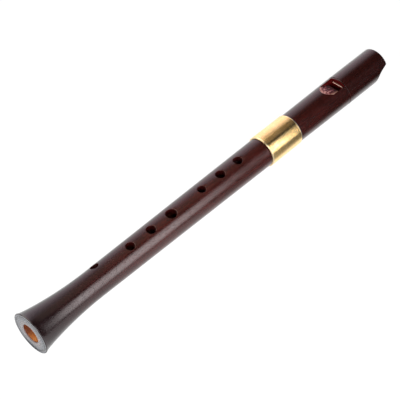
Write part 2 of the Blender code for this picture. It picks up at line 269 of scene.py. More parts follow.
# %% [markdown]
# ## Lamps
#
# Each lamp is an area lamp whose own nodes make it brightest at one hot place. The front box is
# low and bright: its reflection is the long grey streak on the body and the yellow band on the
# sleeve. A dark card keeps it off the head, so the streak fades there. The rear box is dimmer and
# wider, is rolled a little, and gives the pale band along the upper edge. A small panel overhead
# makes the brown band on the brass. A fill panel, seen only in reflections, brightens the foot's
# end face, and a small lamp beyond the foot lights the bore's mouth, the holes and the block.

# %% Soft boxes


def soft_box(name, place, size, level, edge, hot=(0.5, 0.5), reach=(1, 1), colour=(1, 1, 1)):
    """An area lamp that faces the recorder; its light falls from level at the hot place to edge."""
    lamp = bpy.data.lights.new(name, "AREA")
    lamp.shape = "RECTANGLE"
    lamp.size, lamp.size_y = size
    lamp.energy = 1.0
    lamp.use_nodes = True
    tree = lamp.node_tree
    tree.nodes.clear()
    spot = split(tree, put(tree, "ShaderNodeNewGeometry").outputs["Parametric"])
    off = [over(tree, minus(tree, spot[i], hot[i]), reach[i]) for i in (0, 1)]
    far = plus(tree, *(maths(tree, "POWER", value, 2.0) for value in off))
    falling = span(tree, far, 0.0, 1.0, level, edge, interpolation_type="SMOOTHSTEP")
    strength = times(tree, falling, math.pi * size[0] * size[1])
    glow = put(tree, "ShaderNodeEmission", {"Color": (*colour, 1), "Strength": strength})
    put(tree, "ShaderNodeOutputLight", {"Surface": glow.outputs[0]})
    box = add_object(name, lamp)
    box.location = place
    box.rotation_mode = "QUATERNION"
    aim = Vector((place[0], 0, AXIS_Z)) - Vector(place)
    box.rotation_quaternion = aim.to_track_quat("-Z", "X")
    box.visible_camera = False
    return box


def beside(x, elevation, distance, side):
    """A place beside the recorder, at an angle above the horizon as seen from its axis."""
    rise = math.radians(elevation)
    return (x, side * distance * math.cos(rise), AXIS_Z + distance * math.sin(rise))


soft_box("front_soft_box", beside(-0.058, 33.3, 1.0, -1), (1.17, 1.06), 7.2, 2.2,
         hot=(0.5, 0.049), reach=(0.52, 0.37))
rear = soft_box("rear_soft_box", beside(0.35, 36.0, 0.9, 1), (1.4, 2.4), 1.46, 0.0,
                hot=(0.10, 0.70), reach=(0.90, 0.50), colour=(1.05, 0.91, 1.0))
rear.rotation_quaternion @= Quaternion((0, 0, 1), math.radians(12))
soft_box("overhead_panel", beside(0.18, 79.0, 0.6, 1), (0.47, 0.30), 0.49, 0.10,
         hot=(0.4, 0.83), reach=(1.3, 0.90), colour=(1.1, 0.88, 0.72))
fill_panel = soft_box("fill_panel", beside(-0.35, 45.0, 0.6, 1), (0.75, 0.6), 4.6, 4.6,
                      colour=(1.0, 0.90, 0.78))
fill_panel.visible_diffuse = False
foot_lamp = soft_box("foot_lamp", (-0.45, -0.16, 0.33), (0.2, 0.2), 11.0, 11.0)
foot_face = Vector((cad_low.x, 0, AXIS_Z))
foot_lamp.rotation_quaternion = (foot_face - foot_lamp.location).to_track_quat("-Z", "Y")

# %% Dark card
FLAG_Y, FLAG_START, FLAG_END, FLAG_TOP = -0.12, 0.106, 0.36, 0.25


def new_finish(name):
    """An empty material with its tree, its shader and its Object coordinates."""
    made = bpy.data.materials.new(name)
    made.use_nodes = True
    tree = made.node_tree
    place = put(tree, "ShaderNodeTexCoord").outputs["Object"]
    return made, tree, tree.nodes["Principled BSDF"], place


def black_flag():
    """A dark card that keeps the front lamp off the head; the camera doesn't see it."""
    mesh = bpy.data.meshes.new("black_flag")
    corners = [(FLAG_START, 0.0), (FLAG_END, 0.0), (FLAG_END, FLAG_TOP), (FLAG_START, FLAG_TOP)]
    mesh.from_pydata([(x, FLAG_Y, z) for x, z in corners], [], [(0, 1, 2, 3)])
    cloth, tree, shader, place = new_finish("black_cloth")
    feed(tree, shader, {"Base Color": (0.25, 0.25, 0.25, 1)})
    mesh.materials.append(cloth)
    flag = add_object("black_flag", mesh)
    flag.visible_camera = False


black_flag()

# %% [markdown]
# ## Wood finishes
#
# The body and head are hardwood, stained nearly black-brown, oiled and rubbed until they shine a
# little. Real wood shows three scales at once: broad patches where the stain took better, fine
# streaks that run with the grain, and tiny pores. Each is a noise stretched along X, which is the
# way the grain runs. The bell is darker, because its flare cuts across the grain and drinks more
# stain.

# %% Wood helpers


def streaks(tree, place, along, across, detail=6.0, roughness=0.6, distortion=0.0):
    """Noise stretched along the grain: features along and across it, in metres."""
    scale = (1 / along, 1 / across, 1 / across)
    stretched = put(tree, "ShaderNodeMapping", {0: place, 3: scale}).outputs[0]
    return put(tree, "ShaderNodeTexNoise", {
        "Vector": stretched, "Scale": 1.0, "Detail": detail, "Roughness": roughness,
        "Distortion": distortion}).outputs[0]


def lines(tree, value, size, detail, roughness=0.5):
    """Noise of one value alone, as a lathe's tool leaves it."""
    spot = times(tree, value, 1 / size)
    return put(tree, "ShaderNodeTexNoise", {"W": spot, "Scale": 1.0, "Detail": detail,
                                            "Roughness": roughness},
               noise_dimensions="1D").outputs[0]


def ramp(tree, value, *stops):
    """Colours at places from 0 to 1."""
    made = put(tree, "ShaderNodeValToRGB", {0: value})
    marks = made.color_ramp.elements
    while len(marks) < len(stops):
        marks.new(0.5)
    for mark, (spot, colour) in zip(marks, stops):
        mark.position = spot
        mark.color = (*colour, 1)
    return made.outputs[0]


def mixed(tree, share, first, second):
    """Two colours mixed by a share."""
    return put(tree, "ShaderNodeMix", {0: share, 6: first, 7: second}, data_type="RGBA").outputs[2]


def bump(tree, height, distance):
    """A normal that follows a height, distance metres deep."""
    return put(tree, "ShaderNodeBump", {"Height": height, "Distance": distance}).outputs[0]


def from_axis(tree, place):
    """Distance from the bore's axis."""
    parts = split(tree, place)
    up = minus(tree, parts["Z"], AXIS_Z)
    square = plus(tree, times(tree, up, up), times(tree, parts["Y"], parts["Y"]))
    return maths(tree, "SQRT", square)


# %% Stained wood


def make_stained_wood():
    wood, tree, shader, place = new_finish("stained_wood")
    grain = streaks(tree, place, 14 * MM, 0.7 * MM, detail=7.0, roughness=0.66, distortion=0.5)
    patch = streaks(tree, place, 13 * MM, 6 * MM, detail=5.0, roughness=0.62, distortion=0.6)
    pore = streaks(tree, place, 1.6 * MM, 0.2 * MM, detail=2.0)
    dark = ramp(tree, grain, (0.28, (0.026, 0.0036, 0.0025)), (0.52, (0.040, 0.0058, 0.0037)),
                (0.76, (0.054, 0.0090, 0.0060)))
    red = ramp(tree, grain, (0.28, (0.036, 0.0040, 0.0030)), (0.52, (0.054, 0.0062, 0.0042)),
               (0.76, (0.073, 0.0105, 0.0070)))
    tone = mixed(tree, span(tree, patch, 0.40, 0.62), dark, red)
    pores = span(tree, pore, 0.60, 0.70)
    tone = mixed(tree, times(tree, pores, 0.55), tone, (0.010, 0.0022, 0.0018, 1))
    x = split(tree, place)["X"]
    drunk = span(tree, x, x_at(8 * MM), x_at(100 * MM), 0.10, 1.0)
    tone = mixed(tree, drunk, (0.0060, 0.0030, 0.0040, 1), tone)
    gloss = plus(tree, span(tree, patch, 0.35, 0.65, 0.18, 0.24), times(tree, pores, 0.08))
    height = minus(tree, times(tree, grain, 0.5), pores)
    feed(tree, shader, {"Base Color": tone, "Roughness": gloss,
                        "Normal": bump(tree, height, 0.014 * MM),
                        "Specular Tint": (1.0, 0.93, 0.94, 1)})
    return wood


stained_wood = make_stained_wood()

# %% [markdown]
# The end faces of the foot and the tip are cut square across the grain on the lathe. They keep the
# tool's fine rings, which are a noise of the distance from the axis alone, and show faint lines of
# growth; their pale blue-grey tone is partly a painted reflection of the white ground. The stain
# wears thin round the mouth of the bore, where fingers and a cleaning rod rub it, and a shallow
# groove near the rim has its shade painted nearly black.

# %% Turned end faces
END_GROOVE_RADIUS = 13.1 * MM


def make_end_face():
    wood, tree, shader, place = new_finish("turned_end")
    radius = from_axis(tree, place)
    rings = lines(tree, radius, 0.9 * MM, 4.0)
    tilted = put(tree, "ShaderNodeMapping", {0: place, 2: (0, 0.6, 0)}).outputs[0]
    growth = streaks(tree, tilted, 30 * MM, 1.1 * MM, detail=5.0)
    both = times(tree, plus(tree, rings, growth), 0.5)
    # partly painted reflection: the pale blue-grey stands partly for the white ground's sheen in
    # the face
    tone = ramp(tree, both, (0.38, (0.055, 0.060, 0.075)), (0.62, (0.145, 0.152, 0.182)))
    worn = span(tree, radius, 7.8 * MM, 11.0 * MM, 0.65, 0.0)
    tone = mixed(tree, worn, tone, (0.26, 0.19, 0.18, 1))
    # painted shade: a shallow groove near the rim, its shade painted nearly black; the bump gives
    # its shape
    off_groove = maths(tree, "ABSOLUTE", minus(tree, radius, END_GROOVE_RADIUS))
    groove_and_shade = span(tree, off_groove, 0.3 * MM, 0.8 * MM, 1.0, 0.0)
    tone = mixed(tree, times(tree, groove_and_shade, 0.85), tone, (0.010, 0.008, 0.010, 1))
    height = minus(tree, times(tree, rings, 0.04), groove_and_shade)
    feed(tree, shader, {"Base Color": tone, "IOR": 1.6,
                        "Roughness": span(tree, both, 0.38, 0.62, 0.16, 0.34),
                        "Normal": bump(tree, height, 0.25 * MM)})
    return wood


turned_end = make_end_face()

# %% [markdown]
# The bore and the cuts keep barer wood. The foot's bore is orange just inside the mouth, partly its
# bare wood and partly a painted pool of light, and painted shade darkens it in a thin ring at the
# mouth, on its upper side and further in. The finger holes' walls are redder at the rim, where the
# stain is worn, and are painted nearly black below it as painted shade, and the window's walls are
# a deep red. The ramp's bare wood is pale where it starts, partly a painted highlight, and darkens
# to red towards its edge, with a painted highlight along its near side.

# %% Bare and cut wood
WINDOW_WALL = TIP - 42.2 * MM
LABIUM_EDGE = WINDOW_WALL - 4.8 * MM


def grained(name, along=18 * MM, across=0.5 * MM, roughness=0.5):
    """A finish with its grain; the caller links a base colour."""
    wood, tree, shader, place = new_finish(name)
    grain = streaks(tree, place, along, across, distortion=0.2)
    rough = span(tree, grain, 0.3, 0.7, roughness - 0.08, roughness + 0.08)
    feed(tree, shader, {"Roughness": rough, "Normal": bump(tree, grain, 0.02 * MM)})
    return wood, tree, shader, place, grain


def make_bore_wood():
    wood, tree, shader, place, grain = grained("bore_wood", 12 * MM, 0.8 * MM, 0.45)
    parts = split(tree, place)
    # partly painted light: the bare wood's bright orange stands for light falling into the mouth
    bare_and_lit = ramp(tree, grain, (0.3, (0.68, 0.20, 0.040)), (0.52, (0.90, 0.33, 0.080)),
                (0.72, (0.96, 0.44, 0.14)))
    # painted shade: the near-black tone the bore darkens to further in
    bore_deep_shade = ramp(tree, grain, (0.3, (0.010, 0.0020, 0.0014)), (0.7, (0.026, 0.0045, 0.0030)))
    depth = minus(tree, parts["X"], cad_low.x)
    tone = mixed(tree, span(tree, depth, 6 * MM, 34 * MM), bare_and_lit, bore_deep_shade)
    # painted shade: a dark ring just inside the mouth
    mouth_shade = span(tree, depth, 0.4 * MM, 1.1 * MM, 0.85, 0.0)
    tone = mixed(tree, mouth_shade, tone, (0.055, 0.010, 0.006, 1))
    # painted shade: the bore's upper side is darker
    shaded = span(tree, parts["Y"], -2.0 * MM, 5.0 * MM, 0.0, 0.92)
    tone = mixed(tree, shaded, tone, (0.14, 0.028, 0.012, 1))
    feed(tree, shader, {"Base Color": tone})
    return wood


def make_hole_wood():
    wood, tree, shader, place, grain = grained("hole_wood", 9 * MM, 0.5 * MM, 0.42)
    # painted shade: the hole walls are nearly black below the rim; the redder band at the rim is
    # worn stain
    deep = ramp(tree, grain, (0.3, (0.012, 0.0008, 0.0008)), (0.7, (0.045, 0.0020, 0.0018)))
    near = ramp(tree, grain, (0.3, (0.030, 0.0034, 0.0026)), (0.7, (0.070, 0.0090, 0.0064)))
    out = span(tree, from_axis(tree, place), 9.2 * MM, 10.2 * MM)
    feed(tree, shader, {"Base Color": mixed(tree, out, deep, near), "Specular IOR Level": 0.3})
    return wood


def make_ramp_wood():
    wood, tree, shader, place, grain = grained("ramp_wood", 6 * MM, 0.6 * MM, 0.4)
    parts = split(tree, place)
    mottle = streaks(tree, place, 2.6 * MM, 1.5 * MM, detail=4.0, roughness=0.65)
    # partly painted highlight: the bare cut wood grows pale towards where the ramp starts
    pale_cut_and_highlight = span(tree, parts["X"], x_at(LABIUM_EDGE - 1 * MM), x_at(LABIUM_EDGE - 11 * MM))
    pale_cut_and_highlight = plus(tree, pale_cut_and_highlight, span(tree, mottle, 0.38, 0.62, -0.5, 0.5))
    pale_cut_and_highlight = plus(tree, pale_cut_and_highlight, span(tree, grain, 0.35, 0.65, -0.15, 0.15), clamp=True)
    tone = ramp(tree, pale_cut_and_highlight, (0.0, (0.030, 0.0012, 0.0016)), (0.4, (0.120, 0.008, 0.012)),
                (0.7, (0.38, 0.085, 0.10)), (1.0, (0.84, 0.42, 0.36)))
    # painted highlight: a peach line along the ramp's near edge
    edge = span(tree, parts["Y"], -3.0 * MM, -4.2 * MM)
    tone = mixed(tree, times(tree, edge, 0.8), tone, (0.66, 0.36, 0.25, 1))
    feed(tree, shader, {"Base Color": tone, "Specular IOR Level": 0.25})
    return wood


def make_cut_wall():
    wood, tree, shader, place, grain = grained("cut_wall", 3 * MM, 0.4 * MM, 0.45)
    tone = ramp(tree, grain, (0.3, (0.066, 0.0016, 0.0018)), (0.7, (0.185, 0.0060, 0.0062)))
    feed(tree, shader, {"Base Color": tone, "Specular IOR Level": 0.3})
    return wood


def make_cedar():
    wood, tree, shader, place, grain = grained("cedar", 22 * MM, 0.5 * MM, 0.5)
    bands = streaks(tree, place, 60 * MM, 1.6 * MM, detail=2.0, distortion=0.3)
    both = times(tree, plus(tree, grain, bands), 0.5)
    tone = ramp(tree, both, (0.38, (0.28, 0.10, 0.060)), (0.5, (0.48, 0.21, 0.13)),
                (0.62, (0.62, 0.32, 0.22)))
    x = split(tree, place)["X"]
    # painted highlight: a pale band on the chamfer at the window
    chamfer_highlight = span(tree, x, x_at(WINDOW_WALL + 0.4 * MM), x_at(WINDOW_WALL + 0.7 * MM), 0.9, 0.0)
    feed(tree, shader, {"Base Color": mixed(tree, chamfer_highlight, tone, (0.98, 0.60, 0.50, 1))})
    return wood


bore_wood, hole_wood, ramp_wood = make_bore_wood(), make_hole_wood(), make_ramp_wood()
cut_wall, cedar = make_cut_wall(), make_cedar()

# %% [markdown]
# ## Brass and cork
#
# The sleeve is turned from brass tube. Turning leaves fine marks that run round it, so a
# reflection is drawn out along the bore and stays crisp around it. The shader's anisotropy does
# this, with its direction taken from the sleeve's own UV map, whose U runs along the bore. A
# shallow noise along X makes the coarser marks.

# %% Brass


def make_brass(name, tones, low, high):
    """Turned brass with a roughness from low to high; its rounded ends are duller, with a painted
    highlight in a paler colour.
    """
    metal, tree, shader, place = new_finish(name)
    x = split(tree, place)["X"]
    marks = lines(tree, x, 0.7 * MM, 5.0, 0.7)
    dull = streaks(tree, place, 9 * MM, 9 * MM, detail=4.0)
    worn = plus(tree, times(tree, marks, 0.6), times(tree, dull, 0.4))
    tone = ramp(tree, worn, *zip((0.38, 0.5, 0.62), tones))
    middle, half = (sleeve_low.x + sleeve_high.x) / 2, (sleeve_high.x - sleeve_low.x) / 2
    off_middle = maths(tree, "ABSOLUTE", minus(tree, x, middle))
    # painted highlight: the rounded ends are paled towards light brass; the added roughness is real
    edge = span(tree, off_middle, half - 0.75 * MM, half - 0.45 * MM)
    rough = plus(tree, span(tree, marks, 0.3, 0.7, low, high), times(tree, edge, 0.25))
    along = put(tree, "ShaderNodeTangent", direction_type="UV_MAP", uv_map="turned").outputs[0]
    feed(tree, shader, {"Base Color": mixed(tree, edge, tone, (1.0, 0.80, 0.50, 1)),
                        "Metallic": 1.0, "Anisotropic": 1.0, "Roughness": rough,
                        "Normal": bump(tree, marks, 0.13 * MM), "Tangent": along})
    return metal


brass = make_brass("brass", ((0.91, 0.61, 0.24), (0.95, 0.67, 0.30), (0.98, 0.73, 0.37)),
                   0.16, 0.20)
# painted shade: the sleeve's end faces are a dark brass
shaded_brass_end = make_brass("shaded_brass_end", ((0.14, 0.07, 0.02), (0.20, 0.10, 0.03), (0.28, 0.15, 0.05)),
                       0.4, 0.5)

# %% Cork


def make_cork():
    made, tree, shader, place = new_finish("cork")
    cells = put(tree, "ShaderNodeTexVoronoi",
                {"Vector": place, "Scale": 1 / (0.9 * MM)}).outputs["Distance"]
    blotch = streaks(tree, place, 1.8 * MM, 1.8 * MM, detail=5.0, roughness=0.5)
    tone = ramp(tree, blotch, (0.32, (0.20, 0.09, 0.04)), (0.45, (0.46, 0.27, 0.13)),
                (0.7, (0.60, 0.40, 0.22)))
    height = plus(tree, cells, blotch)
    feed(tree, shader, {"Base Color": tone, "Roughness": 0.8,
                        "Normal": bump(tree, height, 0.12 * MM)})
    return made


cork = make_cork()

# %% [markdown]
# ## The lathe, as a Geometry Nodes tree
#
# Every wooden piece starts on a lathe: a template gives the outline, and turning makes it round.
# The tree below does the same. Its input is the template, a mesh of points that each hold a place
# along the bore and a radius. A grid has one column for each point and one row for each step of
# the turn; each grid point is then moved to its point's radius at its row's angle. The bell's
# flare and lip follow a rule, so they are inputs of the tree and are added while it turns.

# %% Lathe tree
TURN_STEPS = 192
SAME_POINT = 1e-6
FINISH_NAMES = ("Outside", "Bore", "End")


def add_input(tree, name, kind, value=None):
    """Give a Geometry Nodes tree one more input, with its default."""
    made = tree.interface.new_socket(name, in_out="INPUT", socket_type=kind)
    if value is not None:
        made.default_value = value


def make_lathe():
    tree = bpy.data.node_groups.new("lathe", "GeometryNodeTree")
    add_input(tree, "Template", "NodeSocketGeometry")
    tree.interface.new_socket("Turned", in_out="OUTPUT", socket_type="NodeSocketGeometry")
    add_input(tree, "Steps", "NodeSocketInt", TURN_STEPS)
    for name in ("Axis height", "Flare from", "Flare length", "Flare spread", "Flare curve",
                 "Lip spread", "Lip length"):
        add_input(tree, name, "NodeSocketFloat", 1.0 if name.endswith("length") else 0.0)
    for name in FINISH_NAMES:
        add_input(tree, name, "NodeSocketMaterial")
    given = put(tree, "NodeGroupInput").outputs
    template = given["Template"]

    def sampled(value, kind, station):
        inputs = {"Geometry": template, "Value": value, "Index": station}
        return put(tree, "GeometryNodeSampleIndex", inputs, data_type=kind).outputs[0]

    def marked(name, kind):
        return put(tree, "GeometryNodeInputNamedAttribute", {"Name": name},
                   data_type=kind).outputs["Attribute"]

    count = put(tree, "GeometryNodeAttributeDomainSize", {0: template}).outputs["Point Count"]
    steps = given["Steps"]
    columns = plus(tree, count, 1)
    rows = plus(tree, steps, 1)
    grid = put(tree, "GeometryNodeMeshGrid",
               {"Vertices X": columns, "Vertices Y": rows}).outputs["Mesh"]
    index = put(tree, "GeometryNodeInputIndex").outputs[0]
    column = maths(tree, "FLOOR", over(tree, plus(tree, index, 0.5), rows))
    row = minus(tree, index, times(tree, column, rows))
    station = maths(tree, "MODULO", column, count)
    position = put(tree, "GeometryNodeInputPosition").outputs[0]
    spot = split(tree, sampled(position, "FLOAT_VECTOR", station))
    # the bell's rule: a flare that dies away along its length, and a short lip at the rim
    from_rim = minus(tree, spot["X"], given["Flare from"])
    share = over(tree, from_rim, given["Flare length"])
    left = minus(tree, 1.0, share, clamp=True)
    flare = times(tree, maths(tree, "POWER", left, given["Flare curve"]), given["Flare spread"])
    dying = over(tree, times(tree, from_rim, -1), given["Lip length"])
    lip = times(tree, maths(tree, "EXPONENT", dying), given["Lip spread"])
    flared = sampled(marked("flared", "FLOAT"), "FLOAT", station)
    added = times(tree, plus(tree, flare, lip), flared)
    radius = plus(tree, spot["Z"], added)
    turn = over(tree, times(tree, row, math.tau), steps)
    across = times(tree, radius, maths(tree, "SINE", turn))
    upward = times(tree, radius, maths(tree, "COSINE", turn))
    upward = plus(tree, upward, given["Axis height"])
    place = put(tree, "ShaderNodeCombineXYZ", {0: spot["X"], 1: across, 2: upward}).outputs[0]
    shape = put(tree, "GeometryNodeSetPosition", {"Geometry": grid, "Position": place}).outputs[0]
    # a UV map whose U runs along the bore and V round it
    flat = put(tree, "ShaderNodeCombineXYZ", {0: spot["X"], 1: turn}).outputs[0]
    shape = put(tree, "GeometryNodeStoreNamedAttribute",
                {"Geometry": shape, "Name": "turned", "Value": flat},
                data_type="FLOAT2", domain="CORNER").outputs[0]
    # each face takes the finish that the template marks at its first point
    strip = maths(tree, "FLOOR", over(tree, plus(tree, index, 0.5), steps))
    finish = sampled(marked("finish", "INT"), "INT", strip)
    shape = put(tree, "GeometryNodeStoreNamedAttribute",
                {"Geometry": shape, "Name": "finish_face", "Value": finish},
                data_type="INT", domain="FACE").outputs[0]
    shape = put(tree, "GeometryNodeMergeByDistance",
                {"Geometry": shape, "Distance": SAME_POINT}).outputs[0]
    for number, name in enumerate(FINISH_NAMES):
        same = put(tree, "FunctionNodeCompare", {2: marked("finish_face", "INT"), 3: number},
                   data_type="INT", operation="EQUAL").outputs[0]
        shape = put(tree, "GeometryNodeSetMaterial", {"Geometry": shape, "Selection": same,
                                                      "Material": given[name]}).outputs[0]
    put(tree, "NodeGroupOutput", {0: shape})
    return tree


lathe = make_lathe()
OUTSIDE, BORE, END = 0, 1, 2
print("lathe tree has", len(lathe.nodes), "nodes")

# %% [markdown]
# A template is only a list of points, so this helper makes one, gives it the lathe as a modifier,
# and turns the result into a plain mesh. The modifier's inputs are set by their identifiers, which
# the tree's interface lists beside their names.

# %% Turning a piece


def plain_copy(name, source):
    """The evaluated shape of an object as a new plain object; the source is removed."""
    graph = bpy.context.evaluated_depsgraph_get()
    mesh = bpy.data.meshes.new_from_object(source.evaluated_get(graph), depsgraph=graph)
    bpy.data.objects.remove(source, do_unlink=True)
    mesh.name = name
    return add_object(name, mesh)


def turn_piece(name, points, finishes, steps=TURN_STEPS, **rule):
    """Turn a closed template of (from_foot, radius, finish, flared) points round the bore."""
    mesh = bpy.data.meshes.new(name + "_template")
    edges = [(i, i + 1) for i in range(len(points) - 1)]
    mesh.from_pydata([(x_at(p[0]), 0, p[1]) for p in points], edges, [])
    marks, flared = [p[2] for p in points], [float(p[3]) for p in points]
    for label, kind, row in (("finish", "INT", marks), ("flared", "FLOAT", flared)):
        mesh.attributes.new(label, kind, "POINT").data.foreach_set("value", row)
    blank = add_object(name + "_template", mesh)
    turning = blank.modifiers.new("lathe", "NODES")
    turning.node_group = lathe
    sockets = {s.name: s.identifier for s in lathe.interface.items_tree if s.in_out == "INPUT"}
    values = {"Steps": steps, "Axis height": AXIS_Z, **dict(zip(FINISH_NAMES, finishes))}
    values.update({key.replace("_", " ").capitalize(): value for key, value in rule.items()})
    for label, value in values.items():
        turning[sockets[label]] = value
    return plain_copy(name, blank)


def tidy_mesh(piece, sharp=32):
    """Merge doubles, point every face outwards, and shade smooth except at real edges."""
    shape = bmesh.new()
    shape.from_mesh(piece.data)
    bmesh.ops.remove_doubles(shape, verts=shape.verts, dist=SAME_POINT)
    bmesh.ops.dissolve_degenerate(shape, edges=shape.edges, dist=SAME_POINT)
    bmesh.ops.recalc_face_normals(shape, faces=shape.faces)
    open_edges = sum(not e.is_manifold for e in shape.edges)
    shape.to_mesh(piece.data)
    shape.free()
    piece.data.shade_smooth()
    piece.data.set_sharp_from_angle(angle=math.radians(sharp))
    print(f"{piece.name}: {len(piece.data.polygons)} faces, {open_edges} open edges")


def carve(piece, cutter):
    """Cut a shape out of a piece; the cut takes the cutter's finish."""
    modifier = piece.modifiers.new("carve", "BOOLEAN")
    modifier.operation = "DIFFERENCE"
    modifier.solver = "EXACT"
    modifier.material_mode = "TRANSFER"
    modifier.object = cutter
    name = piece.name
    carved = plain_copy(name, piece)
    bpy.data.objects.remove(cutter, do_unlink=True)
    carved.name = name
    return carved


def ride_as(piece, body, node):
    """Hand a finished piece to the frame: its body and the node it stands for."""
    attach(piece, body)
    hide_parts(node)


# %% [markdown]
# ## The body
#
# The body and foot are one piece. From the foot, the template goes round the rim, along the
# taper to the shoulder, over the tenon with its seat for the cork, and back through the bore,
# which narrows to a choke and opens again towards the foot. The flare is left to the lathe's rule.

# %% Body sizes
BODY_LENGTH = 207.9 * MM
BODY_SHOULDER_RADIUS = 10.85 * MM
WAIST_RADIUS = 9.75 * MM
FLARE_LENGTH = 55 * MM
FLARE_CURVE = 2.1
LIP_SPREAD = 0.5 * MM
LIP_LENGTH = 1.6 * MM
EDGE_ROUND = 0.5 * MM
SHOULDER_CHAMFER = 0.4 * MM
FOOT_BORE_RADIUS = 6.9 * MM
CHOKE_RADIUS = 5.7 * MM
CHOKE_FROM_FOOT = 58 * MM
JOINT_BORE_RADIUS = 7.0 * MM
BORE_MOUTH_ROUND = 0.4 * MM
FIT = 0.3 * MM
TENON_RADIUS = 10.0 * MM
TENON_END = 226.4 * MM
LAPPING_SEAT_RADIUS = 9.1 * MM
LAPPING_RADIUS = 10.3 * MM
BODY_LAPPING = (210.65 * MM, 223.65 * MM)
TAPER = (BODY_SHOULDER_RADIUS - WAIST_RADIUS) / (BODY_LENGTH - FLARE_LENGTH)
FLARE_SPREAD = BELL_RADIUS - LIP_SPREAD - (WAIST_RADIUS - TAPER * (FLARE_LENGTH - EDGE_ROUND))


def taper_radius(from_foot):
    """The body's radius without the bell."""
    return WAIST_RADIUS + TAPER * (from_foot - FLARE_LENGTH)


def body_radius(from_foot):
    """The body's radius with the bell, as the lathe turns it."""
    from_rim = from_foot - EDGE_ROUND
    left = max(0.0, 1 - from_rim / (FLARE_LENGTH - EDGE_ROUND))
    return (taper_radius(from_foot) + FLARE_SPREAD * left ** FLARE_CURVE
            + LIP_SPREAD * math.exp(-from_rim / LIP_LENGTH))


def quarter_round(from_foot, radius, size, way, steps=8):
    """Points of a rounded outer edge; way is 1 where the piece lies past it."""
    points = []
    for i in range(steps + 1):
        turn = math.pi / 2 * i / steps
        x = from_foot + way * size * (1 - math.sin(turn))
        points.append((x, radius - size * (1 - math.cos(turn)), OUTSIDE, 0))
    return points


# %% Body template
BODY_STATIONS = 96


def tenon(shoulder, end, shoulder_radius, seat, way):
    """Points from a shoulder to a tenon's end, with the cork's seat."""
    seat = seat if way > 0 else seat[::-1]
    return [
        (shoulder - SHOULDER_CHAMFER * way, shoulder_radius, OUTSIDE, 0),
        (shoulder, shoulder_radius - SHOULDER_CHAMFER, END, 0),
        (shoulder, TENON_RADIUS, OUTSIDE, 0),
        (seat[0] - FIT * way, TENON_RADIUS, OUTSIDE, 0),
        (seat[0] - FIT * way, LAPPING_SEAT_RADIUS, OUTSIDE, 0),
        (seat[1] + FIT * way, LAPPING_SEAT_RADIUS, OUTSIDE, 0),
        (seat[1] + FIT * way, TENON_RADIUS, OUTSIDE, 0),
        (end - SHOULDER_CHAMFER * way, TENON_RADIUS, OUTSIDE, 0),
        (end, TENON_RADIUS - SHOULDER_CHAMFER, END, 0),
    ]


def body_template():
    rim = quarter_round(0, BELL_RADIUS, EDGE_ROUND, 1)[::-1]
    points = [(0, FOOT_BORE_RADIUS + BORE_MOUTH_ROUND, END, 0)] + rim[:-1]
    turned_length = BODY_LENGTH - SHOULDER_CHAMFER - EDGE_ROUND
    for i in range(BODY_STATIONS):
        from_foot = EDGE_ROUND + turned_length * (i / BODY_STATIONS) ** 1.7
        points.append((from_foot, taper_radius(from_foot), OUTSIDE, 1))
    points += tenon(BODY_LENGTH, TENON_END, BODY_SHOULDER_RADIUS, BODY_LAPPING, 1)
    points.append((TENON_END, JOINT_BORE_RADIUS, BORE, 0))
    for i in range(21):
        share = 1 - i / 20
        opening = (1 - share) ** 1.5
        points.append((max(share * CHOKE_FROM_FOOT, BORE_MOUTH_ROUND),
                       CHOKE_RADIUS + (FOOT_BORE_RADIUS - CHOKE_RADIUS) * opening, BORE, 0))
    points[-1] = (*points[-1][:2], END, 0)
    return points


# %% [markdown]
# The finger holes are drilled square to the bore and their rims are eased by hand. Each cutter
# follows the body's curved surface, so the rounding is equally wide all the way round. A row gives
# the distance from the foot and the radius in mm, and the turn round the bore in degrees. The last
# row is the thumb hole.

# %% Finger holes
HOLE_ROUND = 0.22 * MM
FINGER_HOLES = (
    (184.7, 3.35, 3), (167.8, 3.45, 3), (149.9, 3.00, 2), (121.5, 3.90, 1), (103.2, 3.35, 0.5),
    (84.7, 3.20, 0), (58.6, 3.00, 36), (193.5, 2.80, 180),
)


def hole_rings(from_foot, radius, sides=48):
    """Rings of a cutter that follows the body's surface, from above it down to the axis."""
    levels = [(0.75 * MM, -0.9 * MM), (0.42 * MM, -0.14 * MM)]
    for i in range(7):
        turn = math.radians(25 + 65 * i / 6)
        levels.append((HOLE_ROUND * (1 - math.sin(turn)),
                       HOLE_ROUND * (1 - math.cos(turn)) + 0.02 * MM))
    surface = body_radius(from_foot)
    rings = []
    for spread, depth in levels:
        ring = []
        for i in range(sides):
            turn = math.tau * i / sides
            along, across = (radius + spread) * math.cos(turn), (radius + spread) * math.sin(turn)
            height = math.sqrt(surface * surface - across * across) - depth
            ring.append((x_at(from_foot) + along, across, height))
        rings.append(ring)
    rings.append([(x, y, 0.0) for x, y, z in rings[-1]])
    return rings


def join_sides(shape, rings, floor_finish=0, wall_finish=0):
    """Join rings of points by faces; the first side is the floor, the others are walls."""
    for ring, following in zip(rings, rings[1:]):
        for i in range(len(ring)):
            j = (i + 1) % len(ring)
            face = shape.faces.new((ring[i], ring[j], following[j], following[i]))
            face.material_index = wall_finish if i else floor_finish


